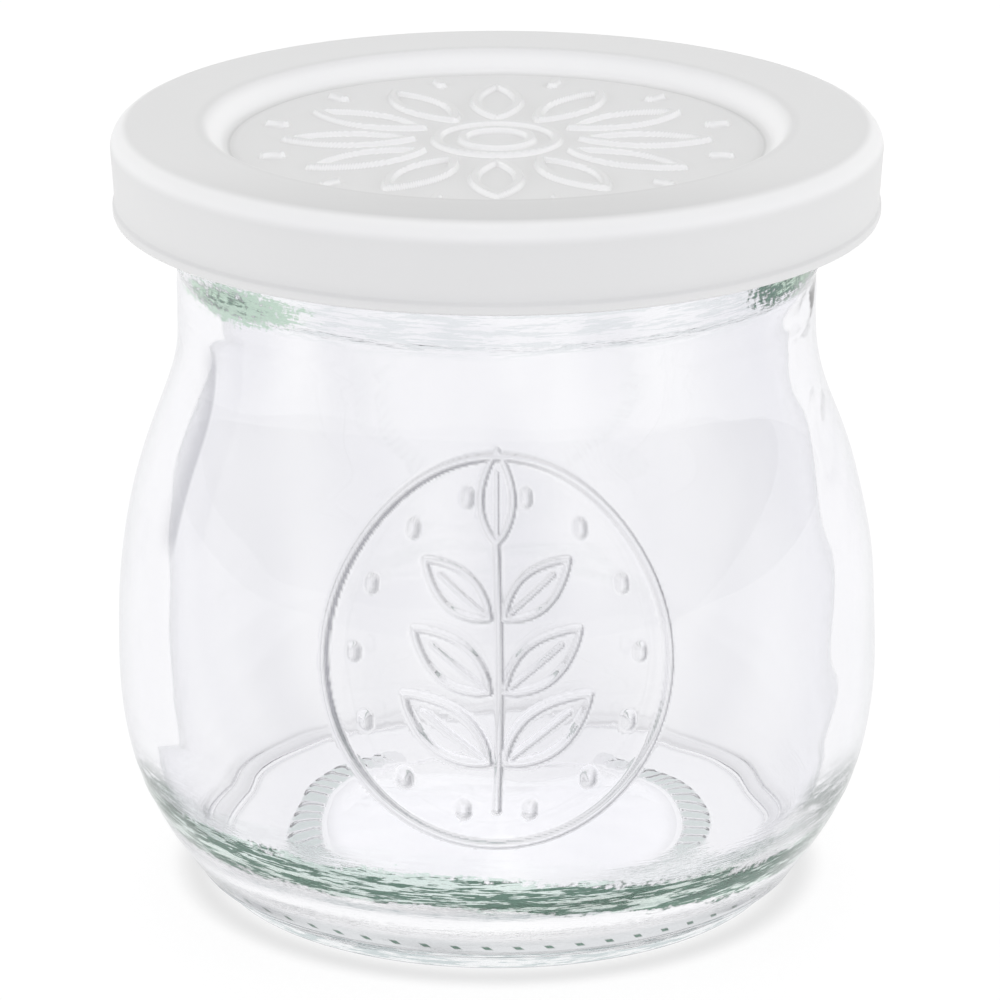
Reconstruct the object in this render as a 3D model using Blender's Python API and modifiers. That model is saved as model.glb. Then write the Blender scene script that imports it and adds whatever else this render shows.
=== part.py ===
"""An empty clear glass tulip jar closed by a white press-on cover.

Metres, +Z up. The origin is the centre of the ring that the jar stands on, and the raised emblem faces -Y.
"""
import math

import bmesh
import bpy
import numpy as np
from mathutils import Matrix, Vector

MM = 0.001

# Jar: outside. The body swells to a belly low down and draws in to a straight neck.
BELLY_RADIUS = 36.05 * MM
BELLY_HEIGHT = 22.8 * MM
BELLY_UP_PULL = 20.0 * MM
BELLY_DOWN_PULL = 6.5 * MM
NECK_RADIUS = 29.85 * MM
NECK_HEIGHT = 54.6 * MM
NECK_PULL = 8.4 * MM
HEEL_RADIUS = 29.3 * MM
HEEL_HEIGHT = 2.35 * MM
HEEL_PULL = 10.0 * MM
HEEL_ANGLE = math.radians(50.8)
STEP_RADIUS = 28.8 * MM
STEP_HEIGHT = 1.9 * MM
FOOT_RADIUS = 27.3 * MM
FOOT_HEIGHT = 1.5 * MM
FOOT_EDGE = 0.45 * MM

# Jar: rim. A band thickens the neck under the flange that the cover is pressed over.
BAND_RADIUS = 30.1 * MM
BAND_HEIGHT = 61.0 * MM
BAND_STEP = 0.4 * MM
FLANGE_RADIUS = 34.15 * MM
FLANGE_BOTTOM = 67.4 * MM
FLANGE_LOWER_EDGE = 1.2 * MM
FLANGE_UPPER_EDGE = 1.4 * MM
COVE_RADIUS = 1.7 * MM
JAR_HEIGHT = 72.0 * MM
MOUTH_RADIUS = 26.9 * MM
MOUTH_BOTTOM = 63.0 * MM
MOUTH_EDGE = 1.45 * MM

# Jar: inside and base
WALL = 2.6 * MM
INNER_NECK_RADIUS = 27.3 * MM
INNER_NECK_TOP = 59.5 * MM
FLOOR_HEIGHT = 5.9 * MM
FLOOR_EDGE_HEIGHT = 5.2 * MM
FLOOR_RADIUS = 22.5 * MM
FLOOR_PULL = 6.0 * MM
FLOOR_PULL_RISE = 0.2 * MM
INNER_BELLY_PULL = 13.5 * MM
HOLLOW_RADIUS = 17.4 * MM
HOLLOW_HEIGHT = 1.9 * MM

# Cover
COVER_TOP = 73.6 * MM
COVER_BOTTOM = 65.35 * MM
COVER_RADIUS = 35.75 * MM
COVER_TAPER = 0.3 * MM
COVER_THICKNESS = 1.3 * MM
SHOULDER = 1.95 * MM
LIP_HEIGHT = 1.0 * MM
LIP_STEP = 0.2 * MM
LIP_EDGE = 0.3 * MM
SKIRT_INSIDE = 34.5 * MM
BEAD_INSIDE = 33.75 * MM
BEAD_BOTTOM = 66.25 * MM
BEAD_TOP = 66.65 * MM
BEAD_SLOPE = 0.8 * MM
INNER_SHOULDER = 0.7 * MM
PANEL_HEIGHT = 71.54 * MM
PANEL_RADIUS = 25.0 * MM
PANEL_FILLET = (0.6 * MM, 0.45 * MM)
RECESS_EDGE = 27.4 * MM
BRIM_EDGE = (0.65 * MM, 0.3 * MM)
BOSS_RADIUS = 26.2 * MM
BOSS_TOP_RADIUS = 27.6 * MM
BOSS_BOTTOM = 70.25 * MM
BOSS_EDGE = (0.5 * MM, 0.65 * MM)

# Raised emblem on the front: an upright oval line round a sprig of leaves and a ring of berries
EMBLEM_HEIGHT = 33.4 * MM
OVAL_HALF_WIDTH = 16.2 * MM
OVAL_HALF_HEIGHT = 17.4 * MM
LINE_RADIUS = 0.55 * MM
LINE_SINK = 0.12 * MM
STEM_BOTTOM = 19.4 * MM
LEAF_PAIRS = 3
LEAF_SPACING = 6.6 * MM
LOWEST_LEAF = 23.4 * MM
LEAF_LENGTH = 9.6 * MM
LEAF_WIDTH_SHARE = 0.42
LEAF_SHRINK = 0.1
TOP_LEAF_SHARE = 0.8
LEAF_TILT = math.radians(38)
LEAF_RELIEF = 0.35 * MM
LEAF_SINK = 0.175 * MM
BERRY_COUNT = 14
BERRY_RING = 0.82
BERRY_WIDTH = 1.3 * MM
BERRY_LENGTH = 1.7 * MM
BERRY_RELIEF = 0.42 * MM
BERRY_SINK = 0.1 * MM

# Raised rosette on the cover
PETALS = 12
PETAL_INNER = 8.0 * MM
PETAL_OUTER = 19.5 * MM
PETAL_WIDTH = 4.2 * MM
ROSETTE_RING = 5.6 * MM
ROSETTE_RELIEF = 0.35 * MM

LINE_POINTS = 44
RING_POINTS = 24
WELD = 0.01 * MM
TURN_STEPS = 48
FRONT = -math.pi / 2


def clear_scene():
    for item in list(bpy.data.objects):
        bpy.data.objects.remove(item, do_unlink=True)


def new_collection(name):
    made = bpy.data.collections.new(name)
    bpy.context.scene.collection.children.link(made)
    return made


def material(name, colour, roughness, transmission=0.0):
    made = bpy.data.materials.new(name)
    made.use_nodes = True
    shader = made.node_tree.nodes["Principled BSDF"]
    shader.inputs["Base Color"].default_value = (*colour, 1.0)
    shader.inputs["Roughness"].default_value = roughness
    shader.inputs["Metallic"].default_value = 0.0
    shader.inputs["Transmission Weight"].default_value = transmission
    made.diffuse_color = (*colour, 1.0)
    return made


def arc(centre, radius, start, end, steps):
    """Points on a circle in the (radius, height) plane. Angles are in degrees, 0 points outwards, 90 up."""
    angles = np.radians(np.linspace(start, end, steps + 1))
    return [(centre[0] + radius * math.cos(a), centre[1] + radius * math.sin(a)) for a in angles]


def bezier(start, pull_start, pull_end, end, steps):
    """Points on a cubic curve in the (radius, height) plane."""
    points = []
    for t in np.linspace(0.0, 1.0, steps + 1):
        weights = ((1 - t) ** 3, 3 * (1 - t) ** 2 * t, 3 * (1 - t) * t ** 2, t ** 3)
        corners = (start, pull_start, pull_end, end)
        points.append(tuple(sum(w * c[k] for w, c in zip(weights, corners)) for k in (0, 1)))
    return points


def neck_to_belly(belly_radius, neck_radius, steps):
    """The long curve of the side, from the neck down to the widest place."""
    return bezier(
        (neck_radius, NECK_HEIGHT),
        (neck_radius, NECK_HEIGHT - NECK_PULL),
        (belly_radius, BELLY_HEIGHT + BELLY_UP_PULL),
        (belly_radius, BELLY_HEIGHT),
        steps,
    )


def belly_to_heel(steps):
    """The outer curve from the widest place down to the heel above the foot."""
    pull = (HEEL_RADIUS + HEEL_PULL * math.cos(HEEL_ANGLE), HEEL_HEIGHT + HEEL_PULL * math.sin(HEEL_ANGLE))
    belly = (BELLY_RADIUS, BELLY_HEIGHT)
    heel = (HEEL_RADIUS, HEEL_HEIGHT)
    return bezier(belly, (BELLY_RADIUS, BELLY_HEIGHT - BELLY_DOWN_PULL), pull, heel, steps)


def inside_outline():
    """From the middle of the floor up the inner wall to the edge of the mouth."""
    inner_belly = (BELLY_RADIUS - WALL, BELLY_HEIGHT)
    floor_edge = (FLOOR_RADIUS, FLOOR_EDGE_HEIGHT)
    dip = (FLOOR_HEIGHT - FLOOR_EDGE_HEIGHT) / 4
    floor = [(0.0, FLOOR_HEIGHT), (FLOOR_RADIUS / 2, FLOOR_HEIGHT - dip)]
    corner = bezier(
        floor_edge,
        (FLOOR_RADIUS + FLOOR_PULL, FLOOR_EDGE_HEIGHT + FLOOR_PULL_RISE),
        (inner_belly[0], BELLY_HEIGHT - INNER_BELLY_PULL),
        inner_belly,
        9,
    )
    wall = neck_to_belly(inner_belly[0], INNER_NECK_RADIUS, 8)[::-1]
    finish = [(INNER_NECK_RADIUS, INNER_NECK_TOP), (MOUTH_RADIUS, MOUTH_BOTTOM)]
    mouth = arc((MOUTH_RADIUS + MOUTH_EDGE, JAR_HEIGHT - MOUTH_EDGE), MOUTH_EDGE, 180, 90, 3)
    return floor + corner + wall[1:] + finish + mouth


def rim_outline():
    """From the flat top of the flange down its outside, under it and down the neck band."""
    upper = (FLANGE_RADIUS - FLANGE_UPPER_EDGE, JAR_HEIGHT - FLANGE_UPPER_EDGE)
    lower = (FLANGE_RADIUS - FLANGE_LOWER_EDGE, FLANGE_BOTTOM + FLANGE_LOWER_EDGE)
    cove = (BAND_RADIUS + COVE_RADIUS, FLANGE_BOTTOM - COVE_RADIUS)
    band = [(BAND_RADIUS, BAND_HEIGHT), (NECK_RADIUS, BAND_HEIGHT - BAND_STEP)]
    return (
        arc(upper, FLANGE_UPPER_EDGE, 90, 0, 3)
        + arc(lower, FLANGE_LOWER_EDGE, 0, -90, 2)
        + arc(cove, COVE_RADIUS, 90, 180, 2)
        + band
    )


def base_outline():
    """From the heel in to the foot ring, along its flat and up the hollow under the base."""
    step = [(STEP_RADIUS, STEP_HEIGHT), (FOOT_RADIUS, FOOT_HEIGHT)]
    foot = arc((FOOT_RADIUS - FOOT_EDGE, FOOT_EDGE), FOOT_EDGE, 0, -90, 2)
    sphere_radius = (HOLLOW_RADIUS ** 2 + HOLLOW_HEIGHT ** 2) / (2 * HOLLOW_HEIGHT)
    sweep = math.degrees(math.asin(HOLLOW_RADIUS / sphere_radius))
    hollow = arc((0.0, HOLLOW_HEIGHT - sphere_radius), sphere_radius, 90 - sweep, 90, 4)
    hollow[-1] = (0.0, HOLLOW_HEIGHT)
    return step + foot + hollow


def cover_outline():
    """From the middle of the sunk panel over the brim, down the skirt, round its inner bead and back inside."""
    under_brim = COVER_TOP - COVER_THICKNESS
    lip_top = COVER_BOTTOM + LIP_HEIGHT
    skirt_foot = COVER_RADIUS - COVER_TAPER
    lip = skirt_foot + LIP_STEP
    recess = [
        (0.0, PANEL_HEIGHT),
        (PANEL_RADIUS / 2, PANEL_HEIGHT),
        (PANEL_RADIUS, PANEL_HEIGHT),
        (PANEL_RADIUS + PANEL_FILLET[0], PANEL_HEIGHT + PANEL_FILLET[1]),
        (RECESS_EDGE - BRIM_EDGE[0], COVER_TOP - BRIM_EDGE[1]),
        (RECESS_EDGE, COVER_TOP),
    ]
    shoulder = arc((COVER_RADIUS - SHOULDER, COVER_TOP - SHOULDER), SHOULDER, 90, 0, 5)
    edge = [
        (skirt_foot, lip_top + LIP_STEP),
        (lip, lip_top),
        (lip, COVER_BOTTOM + LIP_EDGE),
        (lip - LIP_EDGE, COVER_BOTTOM),
        (SKIRT_INSIDE, COVER_BOTTOM),
    ]
    bead = [
        (BEAD_INSIDE, BEAD_BOTTOM),
        (BEAD_INSIDE, BEAD_TOP),
        (SKIRT_INSIDE, BEAD_TOP + BEAD_SLOPE),
    ]
    inside = [
        (SKIRT_INSIDE, under_brim - INNER_SHOULDER),
        (SKIRT_INSIDE - INNER_SHOULDER, under_brim),
        (BOSS_TOP_RADIUS, under_brim),
        (BOSS_RADIUS, BOSS_BOTTOM + BOSS_EDGE[1]),
        (BOSS_RADIUS - BOSS_EDGE[0], BOSS_BOTTOM),
        (BOSS_RADIUS / 2, BOSS_BOTTOM),
        (0.0, BOSS_BOTTOM),
    ]
    return recess + shoulder + edge + bead + inside


def turned(name, outline, collection):
    """A solid turned about the Z axis from an outline that starts and ends on it."""
    mesh = bpy.data.meshes.new(name)
    shape = bmesh.new()
    corners = [shape.verts.new((radius, 0.0, height)) for radius, height in outline]
    for a, b in zip(corners, corners[1:]):
        shape.edges.new((a, b))
    shape.to_mesh(mesh)
    shape.free()
    made = bpy.data.objects.new(name, mesh)
    collection.objects.link(made)
    screw = made.modifiers.new("turn", "SCREW")
    screw.steps = TURN_STEPS
    screw.render_steps = TURN_STEPS
    screw.use_merge_vertices = True
    screw.merge_threshold = WELD
    screw.use_smooth_shade = True
    return made


def evaluated_mesh(item):
    graph = bpy.context.evaluated_depsgraph_get()
    return bpy.data.meshes.new_from_object(item.evaluated_get(graph))


def fuse(body, relief):
    """Joins the raised shapes of a collection to a body and removes them."""
    union = body.modifiers.new("relief", "BOOLEAN")
    union.operation = "UNION"
    union.operand_type = "COLLECTION"
    union.collection = relief
    union.solver = "EXACT"
    mesh = evaluated_mesh(body)
    body.modifiers.clear()
    body.data = mesh
    for item in list(relief.objects):
        bpy.data.objects.remove(item, do_unlink=True)
    bpy.data.collections.remove(relief)


SIDE = belly_to_heel(24)[::-1] + neck_to_belly(BELLY_RADIUS, NECK_RADIUS, 24)[::-1]
SIDE_HEIGHTS = [height for radius, height in SIDE]
SIDE_RADII = [radius for radius, height in SIDE]


def side_radius(height):
    return float(np.interp(height, SIDE_HEIGHTS, SIDE_RADII))


def on_side(across, height, lift=0.0):
    """The place and the axes (sideways, up, outwards) on the jar's side, a distance across from its front."""
    step = 0.2 * MM
    angle = FRONT + across / BELLY_RADIUS
    slope = (side_radius(height + step) - side_radius(height - step)) / (2 * step)
    radial = Vector((math.cos(angle), math.sin(angle), 0.0))
    sideways = Vector((-math.sin(angle), math.cos(angle), 0.0))
    upwards = (radial * slope + Vector((0.0, 0.0, 1.0))).normalized()
    outwards = sideways.cross(upwards)
    place = radial * side_radius(height) + Vector((0.0, 0.0, height))
    return place + outwards * lift, sideways, upwards, outwards


def raised_line(name, points, closed, collection):
    """A round line along points of a surface, as a closed mesh."""
    curve = bpy.data.curves.new(name, "CURVE")
    curve.dimensions = "3D"
    curve.bevel_depth = LINE_RADIUS
    curve.bevel_resolution = 1
    curve.use_fill_caps = True
    spline = curve.splines.new("POLY")
    spline.points.add(len(points) - 1)
    for knot, place in zip(spline.points, points):
        knot.co = (*place, 1.0)
    spline.use_cyclic_u = closed
    guide = bpy.data.objects.new(name + "_guide", curve)
    collection.objects.link(guide)
    mesh = evaluated_mesh(guide)
    bpy.data.objects.remove(guide, do_unlink=True)
    shape = bmesh.new()
    shape.from_mesh(mesh)
    bmesh.ops.remove_doubles(shape, verts=shape.verts, dist=WELD)
    bmesh.ops.recalc_face_normals(shape, faces=shape.faces)
    shape.to_mesh(mesh)
    shape.free()
    collection.objects.link(bpy.data.objects.new(name, mesh))


def raised_lens(name, centre, along, outwards, length, width, height, collection):
    """A lens-shaped bump: pointed at both ends of its length, half sunk in the surface."""
    across = along.cross(outwards)
    columns = (across * width / 2, outwards * height, along * length / 2)
    placing = Matrix.Translation(centre) @ Matrix(columns).transposed().to_4x4()
    mesh = bpy.data.meshes.new(name)
    shape = bmesh.new()
    bmesh.ops.create_uvsphere(shape, u_segments=8, v_segments=6, radius=1.0, matrix=placing)
    bmesh.ops.recalc_face_normals(shape, faces=shape.faces)
    shape.to_mesh(mesh)
    shape.free()
    collection.objects.link(bpy.data.objects.new(name, mesh))


def oval(scale, count):
    """Places (across, height) round the emblem's upright oval."""
    turns = [2 * math.pi * (k + 0.5) / count for k in range(count)]
    return [
        (OVAL_HALF_WIDTH * scale * math.sin(t), EMBLEM_HEIGHT + OVAL_HALF_HEIGHT * scale * math.cos(t))
        for t in turns
    ]


def leaf_on_side(name, across, height, tilt, length, collection):
    """A leaf that starts at a place on the jar's side and points up at an angle from sideways."""
    reach = length / 2 + LINE_RADIUS
    middle = (across + reach * math.cos(tilt), height + reach * math.sin(tilt))
    place, sideways, upwards, outwards = on_side(*middle, -LEAF_SINK)
    along = (sideways * math.cos(tilt) + upwards * math.sin(tilt)).normalized()
    width = length * LEAF_WIDTH_SHARE
    raised_lens(name, place, along, outwards, length, width, LEAF_RELIEF + LEAF_SINK, collection)


def emblem(collection):
    """The raised oval line, and inside it a stem with paired leaves, a top leaf and a ring of berries."""
    line = [on_side(across, height, -LINE_SINK)[0] for across, height in oval(1.0, LINE_POINTS)]
    raised_line("oval", line, True, collection)
    stem_top = LOWEST_LEAF + LEAF_PAIRS * LEAF_SPACING
    stem = [on_side(0.0, height, -LINE_SINK)[0] for height in np.linspace(STEM_BOTTOM, stem_top, 8)]
    raised_line("stem", stem, False, collection)
    for pair in range(LEAF_PAIRS):
        height = LOWEST_LEAF + pair * LEAF_SPACING
        length = LEAF_LENGTH * (1 - LEAF_SHRINK * pair)
        leaf_on_side(f"leaf_{pair}_right", 0.0, height, LEAF_TILT, length, collection)
        leaf_on_side(f"leaf_{pair}_left", 0.0, height, math.pi - LEAF_TILT, length, collection)
    top_length = LEAF_LENGTH * TOP_LEAF_SHARE
    leaf_on_side("leaf_top", 0.0, stem_top - LINE_RADIUS, math.pi / 2, top_length, collection)
    for number, (across, height) in enumerate(oval(BERRY_RING, BERRY_COUNT)):
        place, _, upwards, outwards = on_side(across, height, -BERRY_SINK)
        relief = BERRY_RELIEF + BERRY_SINK
        raised_lens(f"berry_{number}", place, upwards, outwards, BERRY_LENGTH, BERRY_WIDTH, relief, collection)


def rosette(collection):
    """Raised petals in a ring on the cover's sunk panel, round a raised line."""
    up = Vector((0.0, 0.0, 1.0))
    middle = (PETAL_INNER + PETAL_OUTER) / 2
    length = PETAL_OUTER - PETAL_INNER
    for number in range(PETALS):
        angle = 2 * math.pi * number / PETALS
        along = Vector((math.cos(angle), math.sin(angle), 0.0))
        place = along * middle + up * PANEL_HEIGHT
        raised_lens(f"petal_{number}", place, along, up, length, PETAL_WIDTH, ROSETTE_RELIEF, collection)
    circle = []
    for k in range(RING_POINTS):
        angle = 2 * math.pi * (k + 0.5) / RING_POINTS
        sunk = PANEL_HEIGHT - LINE_SINK
        circle.append((ROSETTE_RING * math.cos(angle), ROSETTE_RING * math.sin(angle), sunk))
    raised_line("rosette_ring", circle, True, collection)


def smooth(item, angle):
    item.data.shade_smooth()
    item.data.set_sharp_from_angle(angle=angle)


def glass_jar(collection):
    outline = inside_outline() + rim_outline()
    outline += neck_to_belly(BELLY_RADIUS, NECK_RADIUS, 9)[:-1]
    outline += belly_to_heel(7)
    outline += base_outline()
    jar = turned("jar", outline, collection)
    relief = new_collection("jar_relief")
    emblem(relief)
    fuse(jar, relief)
    smooth(jar, math.radians(35))
    jar.data.materials.append(material("clear_glass", (0.90, 0.94, 0.93), 0.03, 0.9))


def cover(collection):
    lid = turned("lid", cover_outline(), collection)
    relief = new_collection("lid_relief")
    rosette(relief)
    fuse(lid, relief)
    smooth(lid, math.radians(35))
    lid.data.materials.append(material("white_plastic", (0.86, 0.86, 0.85), 0.42))


def main():
    clear_scene()
    parts = new_collection("tulip_jar")
    glass_jar(parts)
    cover(parts)


main()
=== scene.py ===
import math

import bmesh
import bpy
import numpy as np
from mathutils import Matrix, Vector


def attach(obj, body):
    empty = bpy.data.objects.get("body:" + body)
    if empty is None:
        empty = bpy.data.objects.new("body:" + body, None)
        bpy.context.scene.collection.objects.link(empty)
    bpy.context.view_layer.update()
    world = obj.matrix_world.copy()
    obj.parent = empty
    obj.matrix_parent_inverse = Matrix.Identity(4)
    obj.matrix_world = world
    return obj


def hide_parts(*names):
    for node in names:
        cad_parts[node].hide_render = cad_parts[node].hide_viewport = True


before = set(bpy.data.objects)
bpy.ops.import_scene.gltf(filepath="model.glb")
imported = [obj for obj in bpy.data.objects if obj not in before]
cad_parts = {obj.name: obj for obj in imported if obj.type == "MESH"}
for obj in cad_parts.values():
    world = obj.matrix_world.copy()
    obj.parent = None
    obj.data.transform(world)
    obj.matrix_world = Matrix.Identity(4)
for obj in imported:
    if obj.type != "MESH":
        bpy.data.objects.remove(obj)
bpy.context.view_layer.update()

mm = 0.001


# shader maths: an expression on wires adds the nodes that it needs
class Wire:
    def __init__(self, bench, socket):
        self.bench = bench
        self.socket = socket

    def maths(self, operation, *values):
        return self.bench.node("ShaderNodeMath", {"operation": operation}, values)

    def __add__(self, other):
        return self.maths("ADD", self, other)

    def __radd__(self, other):
        return self.maths("ADD", other, self)

    def __sub__(self, other):
        return self.maths("SUBTRACT", self, other)

    def __rsub__(self, other):
        return self.maths("SUBTRACT", other, self)

    def __mul__(self, other):
        return self.maths("MULTIPLY", self, other)

    def __rmul__(self, other):
        return self.maths("MULTIPLY", other, self)

    def __truediv__(self, other):
        return self.maths("DIVIDE", self, other)

    def __pow__(self, other):
        return self.maths("POWER", self, other)

    def size(self):
        return self.maths("ABSOLUTE", self)

    def rise(self, low, high):
        # 0 below low, 1 above high, smooth between them
        settings = {"interpolation_type": "SMOOTHSTEP"}
        return self.bench.node("ShaderNodeMapRange", settings, (self, low, high, 0.0, 1.0))

    def within(self, low, high, soft):
        return self.rise(low - soft, low + soft) * (1 - self.rise(high - soft, high + soft))


class Bench:
    # a node tree being made, and one way to add any node to it
    def __init__(self, owner):
        self.owner = owner
        owner.use_nodes = True
        self.tree = owner.node_tree

    def feed(self, socket, value):
        if isinstance(value, Wire):
            self.tree.links.new(value.socket, socket)
        else:
            socket.default_value = value

    def node(self, kind, settings=None, values=(), out=0):
        made = self.tree.nodes.new(kind)
        for key, value in (settings or {}).items():
            setattr(made, key, value)
        pairs = values.items() if isinstance(values, dict) else enumerate(values)
        for slot, value in pairs:
            self.feed(made.inputs[slot], value)
        return Wire(self, made.outputs[out])

    def place(self):
        return self.node("ShaderNodeTexCoord", out="Object")

    def attribute(self, name):
        return self.node("ShaderNodeAttribute", {"attribute_name": name}, out="Fac")

    def axis(self, where, name):
        return self.node("ShaderNodeSeparateXYZ", None, (where,), out=name)

    def stretch(self, where, factors):
        return self.node("ShaderNodeVectorMath", {"operation": "MULTIPLY"}, (where, factors))

    def noise(self, where, scale, detail=2.0, roughness=0.5):
        values = {"Vector": where, "Scale": scale, "Detail": detail, "Roughness": roughness}
        return self.node("ShaderNodeTexNoise", None, values, out="Fac")

    def mix(self, share, first, second):
        # slots 6 and 7 are the Mix node's colours, which share their names with its numbers
        values = {"Factor": share, 6: first, 7: second}
        for slot in (6, 7):
            if isinstance(values[slot], tuple):
                values[slot] = (*values[slot], 1.0)
        return self.node("ShaderNodeMix", {"data_type": "RGBA"}, values, out=2)

    def bump(self, height, distance, strength=1.0):
        values = {"Height": height, "Distance": distance, "Strength": strength}
        return self.node("ShaderNodeBump", None, values)

    def paint(self, sockets):
        # sets or links sockets of the Principled shader by their own names
        shader = self.tree.nodes["Principled BSDF"]
        for name, value in sockets.items():
            self.feed(shader.inputs[name], value)
        return self.owner


# outlines, in millimetres, as (radius, height)
def arc(centre, radius, start, end, count):
    angles = [math.radians(start + (end - start) * k / count) for k in range(count + 1)]
    return [(centre[0] + radius * math.cos(a), centre[1] + radius * math.sin(a)) for a in angles]


def curve(start, pullStart, pullEnd, end, count=200):
    points = []
    for k in range(count + 1):
        t = k / count
        weights = ((1 - t) ** 3, 3 * (1 - t) ** 2 * t, 3 * (1 - t) * t ** 2, t ** 3)
        corners = (start, pullStart, pullEnd, end)
        points.append(tuple(sum(w * c[axis] for w, c in zip(weights, corners)) for axis in (0, 1)))
    return points


def paced(points, gap):
    # the same line, with points at an even gap along it
    lengths = [0.0]
    for a, b in zip(points, points[1:]):
        lengths.append(lengths[-1] + math.dist(a, b))
    marks = np.linspace(0.0, lengths[-1], max(1, round(lengths[-1] / gap)) + 1)
    radii = np.interp(marks, lengths, [p[0] for p in points])
    heights = np.interp(marks, lengths, [p[1] for p in points])
    return list(zip(radii.tolist(), heights.tolist()))


def joined(*stretches):
    # stretches put end to end, without the points that they share
    whole = list(stretches[0])
    for stretch in stretches[1:]:
        whole += stretch[1:] if math.dist(whole[-1], stretch[0]) < 1e-6 else stretch
    return whole


def spun(outline, steps):
    # a closed solid turned about the Z axis
    shape = bmesh.new()
    corners = [shape.verts.new((radius * mm, 0.0, height * mm)) for radius, height in outline]
    lines = [shape.edges.new(pair) for pair in zip(corners, corners[1:])]
    bmesh.ops.spin(shape, geom=corners + lines, axis=(0, 0, 1), cent=(0, 0, 0),
                   angle=2 * math.pi, steps=steps, use_merge=True)
    bmesh.ops.remove_doubles(shape, verts=shape.verts, dist=2e-6)
    return shape


def refined(shape, wanted, cuts):
    # cuts the wanted faces into a finer grid
    faces = list(shape.faces)
    middles = np.array([face.calc_center_median()[:] for face in faces]) / mm
    edges = {}  # a dictionary keeps them in the order of the faces
    for face, cut in zip(faces, wanted(middles)):
        if cut:
            edges.update(dict.fromkeys(face.edges))
    bmesh.ops.subdivide_edges(shape, edges=list(edges), cuts=cuts, use_grid_fill=True)


def meshOf(name, shape):
    bmesh.ops.recalc_face_normals(shape, faces=shape.faces)
    mesh = bpy.data.meshes.new(name)
    shape.to_mesh(mesh)
    shape.free()
    mesh.shade_smooth()
    return mesh


def cornersOf(mesh):
    # every corner's place, in millimetres, and its normal
    places = np.empty(len(mesh.vertices) * 3)
    mesh.vertices.foreach_get("co", places)
    normals = np.array([v.vector[:] for v in mesh.vertex_normals])
    return places.reshape(-1, 3) / mm, normals


def moveCorners(mesh, places):
    mesh.vertices.foreach_set("co", (places * mm).ravel())
    mesh.update()


def objectOf(name, mesh, material):
    made = bpy.data.objects.new(name, mesh)
    made.data.materials.append(material)
    bpy.context.scene.collection.objects.link(made)
    return made


def ripple(turn, height, seed, around, up, waves):
    # an uneven swell over a turned wall: around is a range of whole waves in a turn,
    # and up is a range of radians a millimetre
    draw = np.random.default_rng(seed)
    total = np.zeros(len(turn))
    for _ in range(waves):
        across = draw.integers(around[0], around[1] + 1) * draw.choice((-1, 1))
        total += np.sin(across * turn + draw.uniform(*up) * height + draw.uniform(0.0, 2 * math.pi))
    return total / math.sqrt(waves / 2)


def between(values, low, high, soft):
    # 1 inside a range, falling to 0 over a soft edge outside it
    return np.clip((values - low) / soft + 1, 0, 1) * np.clip((high - values) / soft + 1, 0, 1)


def ridgeHeights(places, ridges, crown=1.0):
    # how high the highest of the ridges stands over each place; a ridge is (points, half width, height)
    heights = np.zeros(len(places))
    for points, half, height in ridges:
        low = np.min(points, axis=0) - half
        high = np.max(points, axis=0) + half
        near = np.nonzero(((places >= low) & (places <= high)).all(axis=1))[0]
        gap = np.full(len(near), 1e9)
        for a, b in zip(np.array(points), np.array(points[1:])):
            along = b - a
            offset = places[near] - a
            share = np.clip(offset @ along / (along @ along), 0, 1)
            gap = np.minimum(gap, np.linalg.norm(offset - share[:, None] * along, axis=1))
        profile = np.clip(1 - (gap / half) ** 2, 0, 1) ** 1.5
        heights[near] = np.maximum(heights[near], height * np.clip(crown * profile, 0, 1))
    return heights


def keepValues(mesh, name, values):
    mesh.attributes.new(name, "FLOAT", "POINT").data.foreach_set("value", values.astype(float))


def keepPaintedLineLightAndShade(mesh, chosen, flat, ridges, look):
    # raises lines, and keeps how strongly each of their flanks is painted, for the material to read: most on
    # flanks that face the shadeWay, a little on every steep flank; the glass paints it as shade, the cover as
    # light
    crown = look["crown"]
    step = 0.04
    slopes = []
    for offset in np.array(((step, 0.0), (0.0, step))):
        ahead = ridgeHeights(flat + offset, ridges, crown)
        behind = ridgeHeights(flat - offset, ridges, crown)
        slopes.append((ahead - behind) / (2 * step))
    away = -(slopes[0] * look["shadeWay"][0] + slopes[1] * look["shadeWay"][1])
    steep = np.clip(np.hypot(*slopes), 0, 1)
    shade = np.zeros(len(mesh.vertices))
    shade[chosen] = np.clip(away, 0, 1) * look["shade"] + steep * look["edgeShade"]
    keepValues(mesh, "paintedLineLightAndShade", np.clip(shade, 0, 1))
    return ridgeHeights(flat, ridges, crown)


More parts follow.
